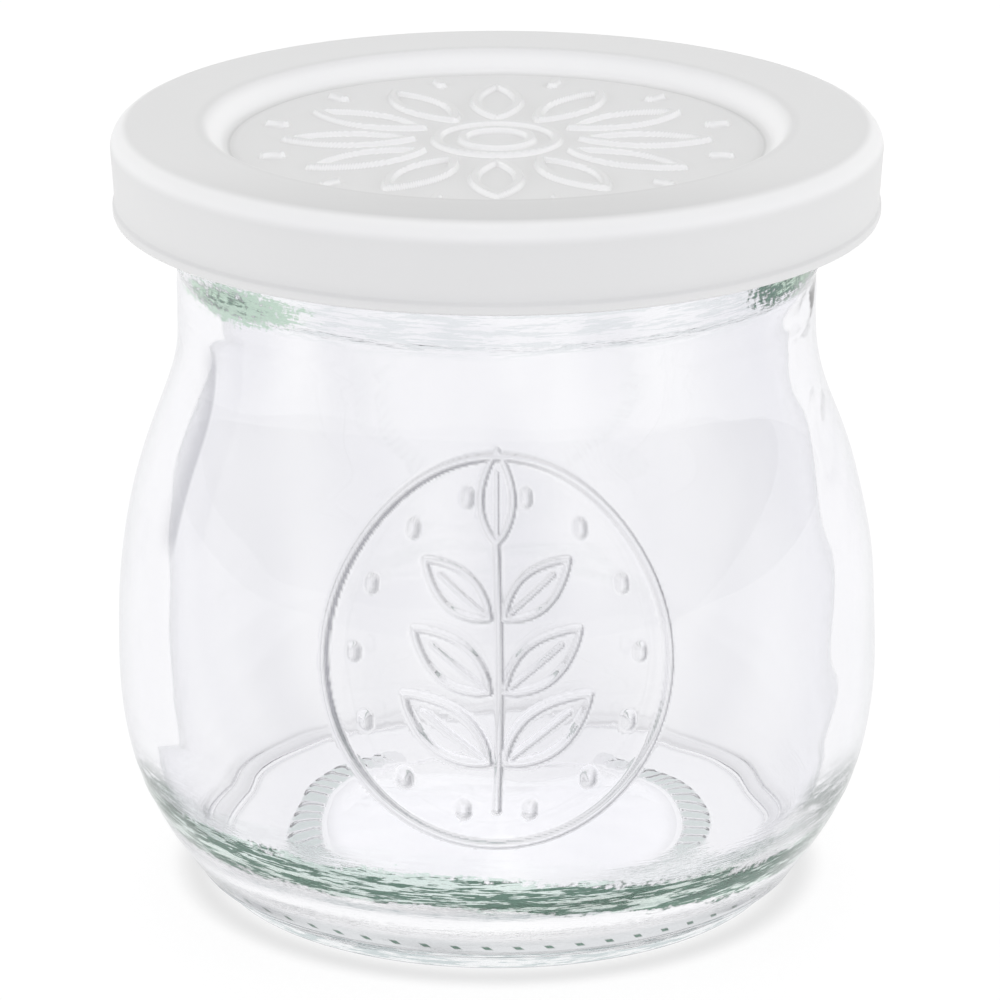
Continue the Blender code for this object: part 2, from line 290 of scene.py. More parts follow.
# the glass jar: a turned body, a raised emblem in front and a knurled ring under the base;
# gaps are between the points of its outline, in millimetres
jarSizes = {
    "bellyRadius": 36.05, "bellyHeight": 22.8, "bellyUpPull": 20.0, "bellyDownPull": 6.5,
    "neckRadius": 29.85, "neckHeight": 54.6, "neckPull": 8.4,
    "heelRadius": 29.3, "heelHeight": 2.35, "heelPull": 10.0, "heelAngle": 50.8,
    "stepRadius": 28.8, "stepEdge": 0.5, "footRadius": 27.3, "footHeight": 1.5, "footEdge": 0.45,
    "footRise": ((0.5, 0.15), (0.1, 0.0)),
    "bandRadius": 30.1, "bandHeight": 61.0, "bandTop": 0.5, "neckTop": -1.2,
    "bandEdge": ((0.06, 0.2), (0.04, -0.1)), "neckEdge": ((0.09, -0.6), (0.02, -0.9)),
    "flangeRadius": 34.15, "flangeBottom": 67.4, "flangeLowerEdge": 1.2, "flangeUpperEdge": 1.4,
    "cove": 1.7, "height": 72.0,
    "mouthRadius": 26.9, "mouthBottom": 63.0, "mouthEdge": 1.45, "mouthPull": 1.5,
    "wall": 2.6, "innerNeckRadius": 27.3, "innerNeckTop": 59.5, "innerBellyPull": 13.5,
    "offCentre": 0.25, "squeeze": 0.022, "squeezeHeights": (18.0, 56.0, 8.0),
    "floorHeight": 5.9, "floorEdgeHeight": 5.2, "floorRadius": 22.5, "floorRings": 16,
    "floorPull": 6.0, "floorPullRise": -0.25, "innerFoot": 5.0, "innerFloor": 23.5,
    "hollowRadius": 17.4, "hollowHeight": 1.1,
    "steps": 210, "emblemCuts": 2, "lineCuts": 1, "ringCuts": 2,
    "sideGap": 1.12, "heelGap": 0.5, "neckGap": 0.45, "footGap": 1.0, "ringGap": 0.8, "heelTop": 13.0,
    "cornerGap": 0.8, "wallGap": 1.3, "boreGap": 0.7, "finishGap": 0.5, "mouthGap": 1.0,
    "calmRise": 8.0, "calmFloor": 0.12, "calmRadius": 10.0, "unevenHeights": (3.5, 66.5),
    "streakyHeights": (16.0, 56.5, 69.0), "streakyTurns": (-160.0, -146.0),
    "sideMargin": 0.3, "slopeStep": 0.2,
}
knurlSizes = {
    "count": 66, "inner": 17.9, "outer": 20.7, "margin": 0.3, "depth": 0.4, "soft": 0.5,
    "arcGain": 2.5, "arcLoss": 1.3,
}
# uneven glass: seed, waves in a turn, radians a millimetre up, number of waves, depth in millimetres
swells = {
    "broad": (11, (1, 5), (0.04, 0.2), 14, 0.13),
    "fine": (23, (6, 20), (0.25, 0.8), 14, 0.018),
    "streak": (37, (1, 7), (1.2, 3.2), 14, 0.012),
    "outer": (51, (2, 9), (0.2, 0.7), 14, 0.02),
    "cast": (61, (4, 18), (0.02, 0.12), 20, 0.3),
}
streakyZones = ((56.0, 66.0, 3.0), (5.0, 12.0, 2.0))  # the neck and the heel: from, to and soft edge


def swelling(name, turn, height):
    seed, around, up, waves, depth = swells[name]
    return ripple(turn, height, seed, around, up, waves) * depth


def neckToBelly(bellyRadius, neckRadius):
    s = jarSizes
    neck = (neckRadius, s["neckHeight"])
    belly = (bellyRadius, s["bellyHeight"])
    pulls = ((neckRadius, neck[1] - s["neckPull"]), (bellyRadius, belly[1] + s["bellyUpPull"]))
    return curve(neck, *pulls, belly)


def bellyToHeel():
    s = jarSizes
    angle = math.radians(s["heelAngle"])
    belly = (s["bellyRadius"], s["bellyHeight"])
    heel = (s["heelRadius"], s["heelHeight"])
    pull = (heel[0] + s["heelPull"] * math.cos(angle), heel[1] + s["heelPull"] * math.sin(angle))
    return curve(belly, (belly[0], belly[1] - s["bellyDownPull"]), pull, heel)


def jarInside():
    s = jarSizes
    innerBelly = s["bellyRadius"] - s["wall"]
    floorEdge = (s["floorRadius"], s["floorEdgeHeight"])
    sag = s["floorHeight"] - s["floorEdgeHeight"]
    shares = [k / s["floorRings"] for k in range(s["floorRings"] + 1)]
    floor = [(s["floorRadius"] * share, s["floorHeight"] - sag * share ** 2) for share in shares]
    pull = (s["floorRadius"] + s["floorPull"], s["floorEdgeHeight"] + s["floorPullRise"])
    innerSide = (innerBelly, s["bellyHeight"])
    corner = curve(floorEdge, pull, (innerBelly, s["bellyHeight"] - s["innerBellyPull"]), innerSide)
    wall = neckToBelly(innerBelly, s["innerNeckRadius"])[::-1]
    bore = [(s["innerNeckRadius"], s["neckHeight"]), (s["innerNeckRadius"], s["innerNeckTop"])]
    mouthFoot = (s["mouthRadius"], s["mouthBottom"])
    finish = curve(bore[1], (s["innerNeckRadius"], s["innerNeckTop"] + s["mouthPull"]),
                   (s["mouthRadius"], s["mouthBottom"] - s["mouthPull"]), mouthFoot)
    top = s["height"] - s["mouthEdge"]
    mouth = arc((s["mouthRadius"] + s["mouthEdge"], top), s["mouthEdge"], 180, 90, 8)
    straight = paced([finish[-1], (s["mouthRadius"], top)], s["mouthGap"])
    return joined(floor, paced(corner, s["cornerGap"]), paced(wall, s["wallGap"]),
                  paced(bore, s["boreGap"]), paced(finish, s["finishGap"]), straight, mouth)


def jarRim():
    s = jarSizes
    top = s["height"] - s["flangeUpperEdge"]
    low = s["flangeBottom"] + s["flangeLowerEdge"]
    upper = arc((s["flangeRadius"] - s["flangeUpperEdge"], top), s["flangeUpperEdge"], 90, 0, 7)
    lower = arc((s["flangeRadius"] - s["flangeLowerEdge"], low), s["flangeLowerEdge"], 0, -90, 6)
    cove = arc((s["bandRadius"] + s["cove"], s["flangeBottom"] - s["cove"]), s["cove"], 90, 180, 7)
    edge = s["bandHeight"]
    band = paced([cove[-1], (s["bandRadius"], edge + s["bandTop"])], s["neckGap"])
    seam = [(s["bandRadius"] + out, edge + up) for out, up in s["bandEdge"]]
    seam += [(s["neckRadius"] + out, edge + up) for out, up in s["neckEdge"]]
    neckEnds = [(s["neckRadius"], edge + s["neckTop"]), (s["neckRadius"], s["neckHeight"])]
    neck = paced(neckEnds, s["neckGap"])
    return joined(upper, lower, cove, band, seam, neck)


def jarBase():
    s = jarSizes
    step = arc((s["stepRadius"], s["heelHeight"]), s["stepEdge"], 0, -90, 4)
    rise = [(s["footRadius"] + out, s["footHeight"] + up) for out, up in s["footRise"]]
    foot = arc((s["footRadius"] - s["footEdge"], s["footEdge"]), s["footEdge"], 0, -90, 6)
    flat = paced([foot[-1], (knurlSizes["outer"] + knurlSizes["margin"], 0.0)], s["footGap"])
    ring = paced([flat[-1], (s["hollowRadius"], 0.0)], s["ringGap"])
    sphereRadius = (s["hollowRadius"] ** 2 + s["hollowHeight"] ** 2) / (2 * s["hollowHeight"])
    sweep = math.degrees(math.asin(s["hollowRadius"] / sphereRadius))
    hollow = arc((0.0, s["hollowHeight"] - sphereRadius), sphereRadius, 90 - sweep, 90, 12)
    hollow[-1] = (0.0, s["hollowHeight"])
    return joined(step, rise, foot, flat, ring, hollow)


# the emblem: an oval line round a sprig and a ring of berries, in millimetres across and up
emblemSizes = {
    "middle": 33.4, "halfWidth": 16.2, "halfHeight": 17.4, "line": 0.52, "lineRise": 0.48,
    "stemBottom": 19.4, "stemTop": 43.6, "sway": 0.3,
    "pairs": 3, "lowest": 23.4, "gap": 6.6, "tilt": 38.0, "topLeaf": 7.8, "topLeafDrop": 1.0,
    "leaf": 9.8, "shrink": 0.1, "leafStart": 0.9, "bow": 0.24, "fullness": 0.8, "taper": 0.25,
    "leafLine": 0.42, "leafRise": 0.34, "rib": 0.32, "ribRise": 0.22, "ribReach": 0.75,
    "berries": 14, "berryRing": 0.82, "berry": 0.78, "berryHalf": 0.25, "berryRise": 0.42,
    # shadeWay, shade and edgeShade paint shade on the raised glass lines: on flanks facing right and down,
    # and a little on every steep flank
    "crown": 1.0, "shadeWay": (0.9, -0.45), "shade": 0.8, "edgeShade": 0.25,
    "margin": 1.4, "lineMargin": 0.2, "leastRadius": 28.5,
    "reach": 20.0, "heights": (14.0, 53.0), "calmWidth": 19.0, "calmHeight": 20.0, "calmGain": 4.0,
}


def ovalPlace(turn, scale):
    e = emblemSizes
    across = e["halfWidth"] * scale * math.sin(turn)
    return (across, e["middle"] + e["halfHeight"] * scale * math.cos(turn))


def leafRidges(root, tilt, length):
    # two bowed sides and a midrib
    e = emblemSizes
    along = (math.cos(tilt), math.sin(tilt))

    def bowed(bow, reach):
        points = []
        for k in range(13):
            t = k / 12
            far = e["leafStart"] + length * reach * t
            aside = bow * length * math.sin(math.pi * t) ** e["fullness"] * (1 - e["taper"] * t)
            points.append((root[0] + far * along[0] - aside * along[1],
                           root[1] + far * along[1] + aside * along[0]))
        return points

    sides = [(bowed(bow, 1.0), e["leafLine"], e["leafRise"]) for bow in (e["bow"], -e["bow"])]
    return sides + [(bowed(0.0, e["ribReach"]), e["rib"], e["ribRise"])]


def emblemRidges():
    e = emblemSizes
    oval = [ovalPlace(2 * math.pi * k / 72, 1.0) for k in range(73)]
    tall = e["stemTop"] - e["stemBottom"]
    stem = [(e["sway"] * math.sin(k / 3), e["stemBottom"] + tall * k / 10) for k in range(11)]
    ridges = [(oval, e["line"], e["lineRise"]), (stem, e["leafLine"], e["leafRise"])]
    for pair in range(e["pairs"]):
        length = e["leaf"] * (1 - e["shrink"] * pair)
        for tilt in (e["tilt"], 180 - e["tilt"]):
            ridges += leafRidges((0.0, e["lowest"] + pair * e["gap"]), math.radians(tilt), length)
    ridges += leafRidges((0.0, e["stemTop"] - e["topLeafDrop"]), math.radians(90), e["topLeaf"])
    for k in range(e["berries"]):
        across, up = ovalPlace(2 * math.pi * (k + 0.5) / e["berries"], e["berryRing"])
        ends = [(across, up - e["berryHalf"]), (across, up + e["berryHalf"])]
        ridges.append((ends, e["berry"], e["berryRise"]))
    return ridges


def frontPlaces(places):
    # distance across the front from the emblem's axis, and height
    turn = np.arctan2(places[:, 1], places[:, 0]) + math.pi / 2
    return np.stack([turn * jarSizes["bellyRadius"], places[:, 2]], axis=1)


def onFront(places):
    return (np.hypot(places[:, 0], places[:, 1]) > emblemSizes["leastRadius"]) & (places[:, 1] < 0)


def onEmblem(places):
    e = emblemSizes
    across, up = frontPlaces(places).T
    width = e["halfWidth"] + e["margin"]
    height = e["halfHeight"] + e["margin"]
    return onFront(places) & (np.hypot(across / width, (up - e["middle"]) / height) < 1)


def onLines(places):
    # beside a raised line, where the grid is finest
    wide = [(points, half + emblemSizes["lineMargin"], 1.0) for points, half, height in emblemRidges()]
    return onFront(places) & (ridgeHeights(frontPlaces(places), wide) > 0)


def onKnurls(places):
    k = knurlSizes
    radius = np.hypot(places[:, 0], places[:, 1])
    near = (radius > k["inner"] - k["margin"]) & (radius < k["outer"] + k["margin"])
    return near & (places[:, 2] < 0.02)


def inWall(places, normals):
    # on the jar's inner side: it faces the axis, or is the floor
    outwards = (places[:, :2] * normals[:, :2]).sum(axis=1)
    onFloor = np.hypot(places[:, 0], places[:, 1]) < jarSizes["innerFloor"]
    return (places[:, 2] > jarSizes["innerFoot"]) & ((outwards < 0) | onFloor)


def giveStreaks(mesh, material):
    # the outer heel, foot and neck and one upright strip get the streaky glass
    mesh.materials.append(material)
    middles = np.array([face.center[:] for face in mesh.polygons]) / mm
    normals = np.array([face.normal[:] for face in mesh.polygons])
    x, y, z = middles.T
    turn = np.degrees(np.arctan2(y, x))
    heel, neck, rim = jarSizes["streakyHeights"]
    streaky = (z < heel) | ((z > neck) & (z < rim))
    start, end = jarSizes["streakyTurns"]
    streaky = (streaky | ((turn > start) & (turn < end))) & ~inWall(middles, normals)
    mesh.polygons.foreach_set("material_index", streaky.astype(int))


def makeJar(clear, streaky):
    s = jarSizes
    side = bellyToHeel()
    outside = joined(paced(neckToBelly(s["bellyRadius"], s["neckRadius"]), s["sideGap"]),
                     paced([p for p in side if p[1] > s["heelTop"]], s["sideGap"]),
                     paced([p for p in side if p[1] < s["heelTop"]], s["heelGap"]))
    outline = joined(jarInside(), jarRim(), outside, jarBase())
    shape = spun(outline, s["steps"])
    refined(shape, onEmblem, s["emblemCuts"])
    refined(shape, onLines, s["lineCuts"])
    refined(shape, onKnurls, s["ringCuts"])
    mesh = meshOf("glassJar", shape)
    places, normals = cornersOf(mesh)
    x, y, z = places.T
    radius = np.hypot(x, y)
    turn = np.arctan2(y, x)

    # the finer corners of the emblem go onto the true round side, and its lines are raised from there
    e = emblemSizes
    trueSide = (neckToBelly(s["bellyRadius"], s["neckRadius"]) + side)[::-1]
    heights = [p[1] for p in trueSide]
    radii = [p[0] for p in trueSide]
    sideRadius = np.interp(z, heights, radii)
    across = (turn + math.pi / 2) * s["bellyRadius"]
    low, high = e["heights"]
    onSide = np.abs(radius - sideRadius) < s["sideMargin"]
    front = onSide & (np.abs(across) < e["reach"]) & (z > low) & (z < high)
    step = s["slopeStep"]
    slope = (np.interp(z + step, heights, radii) - np.interp(z - step, heights, radii)) / (2 * step)
    lean = np.sqrt(1 + slope ** 2)
    outwards = np.stack([np.cos(turn) / lean, np.sin(turn) / lean, -slope / lean], axis=1)
    places[front, 0] = (sideRadius * np.cos(turn))[front]
    places[front, 1] = (sideRadius * np.sin(turn))[front]
    rise = np.zeros(len(z))
    flat = np.stack([across[front], z[front]], axis=1)
    rise[front] = keepPaintedLineLightAndShade(mesh, front, flat, emblemRidges(), e)
    places += outwards * rise[:, None]

    # the wall is uneven inside, and streaky round the neck and the heel
    inner = inWall(places, normals)
    calm = np.clip((z - s["innerFoot"]) / s["calmRise"], s["calmFloor"], 1)
    calm *= np.clip(radius / s["calmRadius"], 0, 1)
    zones = [between(z, *zone) for zone in streakyZones]
    streaks = swelling("streak", turn, z) * np.maximum(*zones)
    inward = (swelling("broad", turn, z) + swelling("fine", turn, z) + streaks) * calm
    places[inner] += normals[inner] * inward[inner][:, None]
    body = between(z, *s["squeezeHeights"])[inner]
    places[inner, 0] = places[inner, 0] * (1 - s["squeeze"] * body) + s["offCentre"] * body
    keepValues(mesh, "outside", ~inner)
    keepValues(mesh, "cast", np.clip(0.5 + swelling("cast", turn, z), 0, 1))
    low, high = s["unevenHeights"]
    outer = ~inner & (z > low) & (z < high)
    away = np.hypot(across / e["calmWidth"], (z - e["middle"]) / e["calmHeight"])
    besides = np.clip(away * e["calmGain"] - e["calmGain"], 0, 1)
    wave = (swelling("outer", turn, z) + streaks) * besides
    places[outer] += normals[outer] * wave[outer][:, None]

    # the knurls under the base
    k = knurlSizes
    under = (places[:, 2] < 0.01) & (radius >= k["inner"]) & (radius <= k["outer"])
    edge = np.clip(np.minimum(radius - k["inner"], k["outer"] - radius) / k["soft"], 0, 1)
    arcs = np.clip(np.abs(np.cos(turn)) * k["arcGain"] - k["arcLoss"], 0, 1)
    places[under, 2] += (k["depth"] * (0.5 - 0.5 * np.cos(k["count"] * turn)) * edge * arcs)[under]
    moveCorners(mesh, places)
    jar = objectOf("glassJar", mesh, clear)
    giveStreaks(mesh, streaky)
    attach(jar, "root")
    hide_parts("jar")
    print("jar", len(mesh.vertices), "corners", len(mesh.loops) - 2 * len(mesh.polygons), "triangles")
    return jar


# the glass: colours, and where they lie in millimetres and degrees,
# as (from, to) or (from, to, soft edge)
glassLook = {
    # line is the painted shade on the raised lines' flanks
    "ior": 1.5, "clear": ((0.905, 0.905, 0.925), (0.965, 0.965, 0.976)), "line": (0.2, 0.2, 0.22),
    # edge and rim are painted shade where the glass is seen at a grazing angle
    "edge": (0.84, 0.84, 0.88), "edgeShadeGrazing": (0.15, 0.6),
    "rim": (0.25, 0.26, 0.3), "rimShadeGrazing": (0.5, 0.9),
    # streak is the colour of the painted dark upright streak
    "streak": (0.24, 0.24, 0.28), "shade": (0.55, 0.63, 0.63),
    "ring": (0.4, 0.54, 0.48), "foot": (0.3, 0.38, 0.39),
    "pale": (0.57, 0.74, 0.65), "deep": (0.015, 0.05, 0.03), "leaf": (0.34, 0.54, 0.38),
    "frontEdge": (-22.0, 0.0), "facingEdge": (-7.0, -1.0),
    "flankRise": (-158.0, -149.3), "flankFall": (-149.3, -148.3), "flankHeights": (37.6, 55.6, 1.5),
    "flankStrength": 0.65,
    # neck is where the painted shade over the neck lies, and shade its colour
    "neck": (60.0, 66.8, 0.8), "neckThreads": (0.46, 0.52), "neckStrength": 0.5,
    "heel": (8.6, 12.2, 0.25), "heelDrop": 3.0, "heelTilt": (-5.0, 28.0), "specked": 2.0, "streaked": 3.0,
    "greenMix": (0.3, 0.7), "greens": (0.485, 0.52), "greenTilt": (2.0, 22.0), "greenGain": 0.04,
    # sides and sideHeel are where the heel's painted dark side streaks lie
    "sides": (27.0, 31.0), "sideHeel": (7.0, 13.5, 2.0), "sideThreads": (0.43, 0.5), "sideStrength": 0.9,
    "patches": (
        {"middle": (-23.0, 61.3), "half": (5.6, 1.7), "slant": 0.12, "dark": 0.58},
        {"middle": (26.0, 62.4), "half": (3.4, 1.8), "slant": 0.0, "dark": 0.48},
    ),
    "patchUneven": 3.0, "patchEdge": (0.5, 1.3), "patchMix": (0.4, 0.6), "patchTilt": 0.08, "patchSoft": 0.08,
    "ticks": (3.1, 3.6, 0.12), "tickBeat": (0.6, 0.8), "tickLean": 2.0,
    "tickStrip": (2.6, 4.3, 0.4), "stripStrength": 0.4,
    "footHeights": (0.1, 2.6, 0.3), "footRadii": (24.0, 26.0), "footThreads": (0.46, 0.54),
    "footLeast": 0.3, "footGain": 0.6,
    "knurls": (17.9, 20.7, 0.3), "knurlTop": (0.4, 0.8), "knurlSides": (10.0, 16.0), "knurlStrength": 0.7,
    "rough": (4.0, 13.0, 1.5), "heelBump": 0.05, "neckBump": 0.1,
}
# noise in the glass: how far it is drawn out sideways, scale, detail and roughness
glassNoise = {
    "streaks": (8.0, 110.0, 3.0, 0.75),
    "threads": (12.0, 190.0, 3.0, 0.8),
    "specks": (1.0, 1400.0, 2.0, 0.7),
}


def glassBench(name):
    # clear with a grey cast, with painted shade on the raised lines' flanks, and painted shade at its edges
    # where the glass is seen at a grazing angle
    look = glassLook
    b = Bench(bpy.data.materials.new(name))
    tint = b.mix(b.attribute("cast"), *look["clear"])
    grazing = b.node("ShaderNodeLayerWeight", None, {"Blend": 0.3}, out="Facing")
    tint = b.mix(grazing.rise(*look["edgeShadeGrazing"]), tint, look["edge"])
    tint = b.mix(grazing.rise(*look["rimShadeGrazing"]), tint, look["rim"])
    return b, b.mix(b.attribute("paintedLineLightAndShade"), tint, look["line"])


def glassPaint(b, tint):
    ior = glassLook["ior"]
    return b.paint({"Base Color": tint, "Roughness": 0.0, "IOR": ior, "Transmission Weight": 1.0})


def clearGlass():
    return glassPaint(*glassBench("clearGlass"))


def drawnOut(b, where, name):
    stretch, scale, detail, roughness = glassNoise[name]
    return b.noise(b.stretch(where, (1.0, 1.0, stretch)), scale, detail, roughness)


def greenPatch(b, x, z, patch, specks, threads):
    # how much of a patch under the rim lies here, and how dark it is
    look = glassLook
    middle, level = patch["middle"]
    half, halfHeight = patch["half"]
    ofSpecks, ofThreads = look["patchMix"]
    along = (x - middle) / half
    up = (z - level - (x - middle) * patch["slant"]) / halfHeight
    uneven = look["patchUneven"]
    away = along ** 2.0 + up ** 2.0 + (specks - 0.5) * uneven + (threads - 0.5) * uneven
    share = 1 - away.rise(*look["patchEdge"])
    dark = specks * ofSpecks + threads * ofThreads - along * look["patchTilt"]
    dark = dark.rise(patch["dark"] - look["patchSoft"], patch["dark"])
    return share, b.mix(dark, look["leaf"], look["deep"])


def streakyGlass():
    # green in an uneven band at the front heel and in patches under the rim
    look = glassLook
    b, tint = glassBench("streakyGlass")
    where = b.place()
    x = b.axis(where, "X") / mm
    y = b.axis(where, "Y") / mm
    z = b.axis(where, "Z") / mm
    radius = (x ** 2.0 + y ** 2.0) ** 0.5
    turn = y.maths("ARCTAN2", y, x) * (180 / math.pi)
    front = (1 - y.rise(*look["frontEdge"])) * b.attribute("outside")
    facing = (1 - y.rise(*look["facingEdge"])) * b.attribute("outside")
    streaks, threads, specks = [drawnOut(b, where, name) for name in ("streaks", "threads", "specks")]

    # painted shade: a soft dark upright streak on the left, with a crisp flank; and a streaky neck
    flank = turn.rise(*look["flankRise"]) ** 2.0 * (1 - turn.rise(*look["flankFall"]))
    tint = b.mix(flank * z.within(*look["flankHeights"]) * look["flankStrength"], tint, look["streak"])
    # painted shade over the neck, left out along thin threads that show as painted highlights
    neck = z.within(*look["neck"])
    shaded = neck * (1 - threads.rise(*look["neckThreads"])) * look["neckStrength"]
    tint = b.mix(shaded, tint, look["shade"])

    # green where the light runs far through the glass
    ofStreaks, ofThreads = look["greenMix"]
    tilt = x.rise(*look["greenTilt"]) * look["greenGain"]
    dark = streaks * ofStreaks + threads * ofThreads + tilt
    green = b.mix(dark.rise(*look["greens"]), look["pale"], look["deep"])
    uneven = (specks - 0.5) * look["specked"] + (streaks - 0.5) * look["streaked"]
    height = z + uneven + x.rise(*look["heelTilt"]) * look["heelDrop"]
    tint = b.mix(height.within(*look["heel"]) * front, tint, green)
    # painted shade: dark streaks on the heel towards the left and right sides
    side = x.size().rise(*look["sides"]) * z.within(*look["sideHeel"]) * facing
    side = side * threads.rise(*look["sideThreads"]) * look["sideStrength"]
    tint = b.mix(side, tint, look["deep"])
    for patch in look["patches"]:
        share, leaf = greenPatch(b, x, z, patch, specks, threads)
        tint = b.mix(share * facing, tint, leaf)

    # the foot, a row of ticks over it and the knurls under it
    beat = turn * (knurlSizes["count"] * math.pi / 180) + z * look["tickLean"]
    tick = beat.maths("SINE", beat).rise(*look["tickBeat"]) * z.within(*look["ticks"]) * front
    foot = z.within(*look["footHeights"]) * radius.rise(*look["footRadii"]) * front
    knurled = radius.within(*look["knurls"]) * (1 - z.rise(*look["knurlTop"]))
    knurled = knurled * x.size().rise(*look["knurlSides"])
    tint = b.mix(z.within(*look["tickStrip"]) * front * look["stripStrength"], tint, look["foot"])
    tint = b.mix(tick, tint, look["deep"])
    footStrength = look["footLeast"] + look["footGain"] * threads.rise(*look["footThreads"])
    tint = b.mix(foot * footStrength, tint, look["foot"])
    tint = b.mix(knurled * look["knurlStrength"], tint, look["ring"])

    rough = z.within(*look["rough"]) * look["heelBump"] + neck * look["neckBump"]
    b.paint({"Normal": b.bump(rough * threads, mm, 1.0)})
    return glassPaint(b, tint)


# the white cover: a skirt with a lip, a brim and a sunk panel with a raised rosette
coverSizes = {
    "top": 73.6, "bottom": 65.35, "radius": 35.75, "taper": 0.3, "thickness": 1.3, "shoulder": 1.95,
    "lip": 1.0, "lipStep": 0.2, "inside": 34.5,
    "beadInside": 33.75, "beadBottom": 66.25, "beadTop": 66.65, "beadSlope": 0.8, "innerShoulder": 0.7,
    "panel": 71.54, "panelRadius": 25.0, "reliefEdge": 0.5, "groove": 0.12, "grooveEdges": (0.3, 0.1),
    "fillet": 0.9, "recess": 27.4, "crest": 0.9, "brimSag": 0.05,
    "bossRadius": 26.2, "bossTopRadius": 27.6, "bossBottom": 70.25,
    "steps": 216, "panelGap": 0.5, "skirtGap": 1.0, "lineCuts": 3,
    "sag": 0.03, "sagWaves": ((1, 4), (0.05, 0.3), 14), "sagHeights": (71.0, 73.2),
}
rosetteSizes = {
    "petals": 12, "inner": 8.0, "outer": 19.5, "bow": 0.18, "fullness": 0.8, "line": 0.56, "rise": 0.5,
    "dashInner": 20.6, "dashOuter": 22.0, "dash": 0.6, "rings": (5.6, 3.2), "lineMargin": 0.3,
    # painted light: on the cover these lighten flanks facing the front, and a little every steep flank
    "crown": 1.7, "shadeWay": (0.0, -1.0), "shade": 1.0, "edgeShade": 0.2,
}


def coverOutline():
    s = coverSizes
    underBrim = s["top"] - s["thickness"]
    lipTop = s["bottom"] + s["lip"]
    skirtFoot = s["radius"] - s["taper"]
    lip = skirtFoot + s["lipStep"]
    panel = paced([(0.0, s["panel"]), (s["panelRadius"] - s["reliefEdge"], s["panel"])], s["panelGap"])
    panel += [(s["panelRadius"] - edge, s["panel"] - s["groove"]) for edge in s["grooveEdges"]]
    fillet = arc((s["panelRadius"] + 0.1, s["panel"] + s["fillet"]), s["fillet"], -90, -42, 6)
    crestRadius = s["recess"] + 0.1
    crest = arc((crestRadius, s["top"] - s["crest"]), s["crest"], 142, 90, 6)
    brim = [(crestRadius + k * 1.2, s["top"] - s["brimSag"] * math.sin(math.pi * k / 5))
            for k in range(1, 5)]
    shoulder = arc((s["radius"] - s["shoulder"], s["top"] - s["shoulder"]), s["shoulder"], 90, 0, 12)
    skirt = paced([shoulder[-1], (skirtFoot, lipTop + 0.3)], s["skirtGap"])
    edge = [(skirtFoot + 0.05, lipTop + 0.12), (lip - 0.02, lipTop - 0.05), (lip, lipTop - 0.2),
            (lip, s["bottom"] + 0.35), (lip - 0.08, s["bottom"] + 0.12), (lip - 0.3, s["bottom"]),
            (s["inside"] + 0.1, s["bottom"]), (s["inside"] - 0.15, s["bottom"] + 0.1)]
    bead = [(s["beadInside"] + 0.1, s["beadBottom"] - 0.2), (s["beadInside"], s["beadBottom"]),
            (s["beadInside"], s["beadTop"]), (s["inside"], s["beadTop"] + s["beadSlope"])]
    curl = s["innerShoulder"]
    hollow = arc((s["inside"] - curl, underBrim - curl), curl, 0, 90, 4)
    boss, low = s["bossRadius"], s["bossBottom"]
    under = [(s["bossTopRadius"] + 0.3, underBrim), (s["bossTopRadius"] - 0.2, underBrim - 0.25),
             (boss + 0.1, low + 0.75), (boss - 0.15, low + 0.2),
             (boss - 0.5, low), (boss / 2, low), (0.0, low)]
    return joined(panel, fillet, crest, brim, shoulder, skirt, edge, bead, hollow, under)


def rosetteRidges():
    r = rosetteSizes
    length = r["outer"] - r["inner"]
    shares = [n / 14 for n in range(15)]
    ridges = []

    def turned(along, aside, turn):
        return (along * math.cos(turn) - aside * math.sin(turn),
                along * math.sin(turn) + aside * math.cos(turn))

    for k in range(r["petals"]):
        turn = 2 * math.pi * k / r["petals"]
        for bow in (r["bow"], -r["bow"]):
            bows = [bow * length * math.sin(math.pi * t) ** r["fullness"] for t in shares]
            side = [turned(r["inner"] + length * t, aside, turn) for t, aside in zip(shares, bows)]
            ridges.append((side, r["line"], r["rise"]))
        gap = turn + math.pi / r["petals"]
        dash = [turned(r["dashInner"], 0.0, gap), turned(r["dashOuter"], 0.0, gap)]
        ridges.append((dash, r["dash"], r["rise"]))
    for radius in r["rings"]:
        circle = [turned(radius, 0.0, 2 * math.pi * k / 48) for k in range(49)]
        ridges.append((circle, r["line"], r["rise"]))
    return ridges


def onPanelLines(places):
    # beside a raised line of the rosette, where the grid is finest
    wide = [(points, half + rosetteSizes["lineMargin"], 1.0) for points, half, height in rosetteRidges()]
    return (np.abs(places[:, 2] - coverSizes["panel"]) < 0.05) & (ridgeHeights(places[:, :2], wide) > 0)


def makeCover(material):
    s = coverSizes
    shape = spun(coverOutline(), s["steps"])
    refined(shape, onPanelLines, s["lineCuts"])
    mesh = meshOf("plasticCover", shape)
    places, normals = cornersOf(mesh)
    radius = np.hypot(places[:, 0], places[:, 1])
    panel = (np.abs(places[:, 2] - s["panel"]) < 0.01) & (radius < s["panelRadius"] - s["reliefEdge"])
    places[panel, 2] += keepPaintedLineLightAndShade(mesh, panel, places[panel, :2], rosetteRidges(), rosetteSizes)

    # the panel sags a little, unevenly
    turn = np.arctan2(places[:, 1], places[:, 0])
    low, high = s["sagHeights"]
    top = (places[:, 2] > low) & (places[:, 2] < high)
    sag = ripple(turn, radius, 5, *s["sagWaves"]) * s["sag"] * np.clip(radius / 10, 0, 1)
    places[top, 2] += sag[top]
    moveCorners(mesh, places)
    cover = objectOf("plasticCover", mesh, material)
    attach(cover, "root")
    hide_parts("lid")
    print("cover", len(mesh.vertices), "corners", len(mesh.loops) - 2 * len(mesh.polygons), "triangles")
    return cover


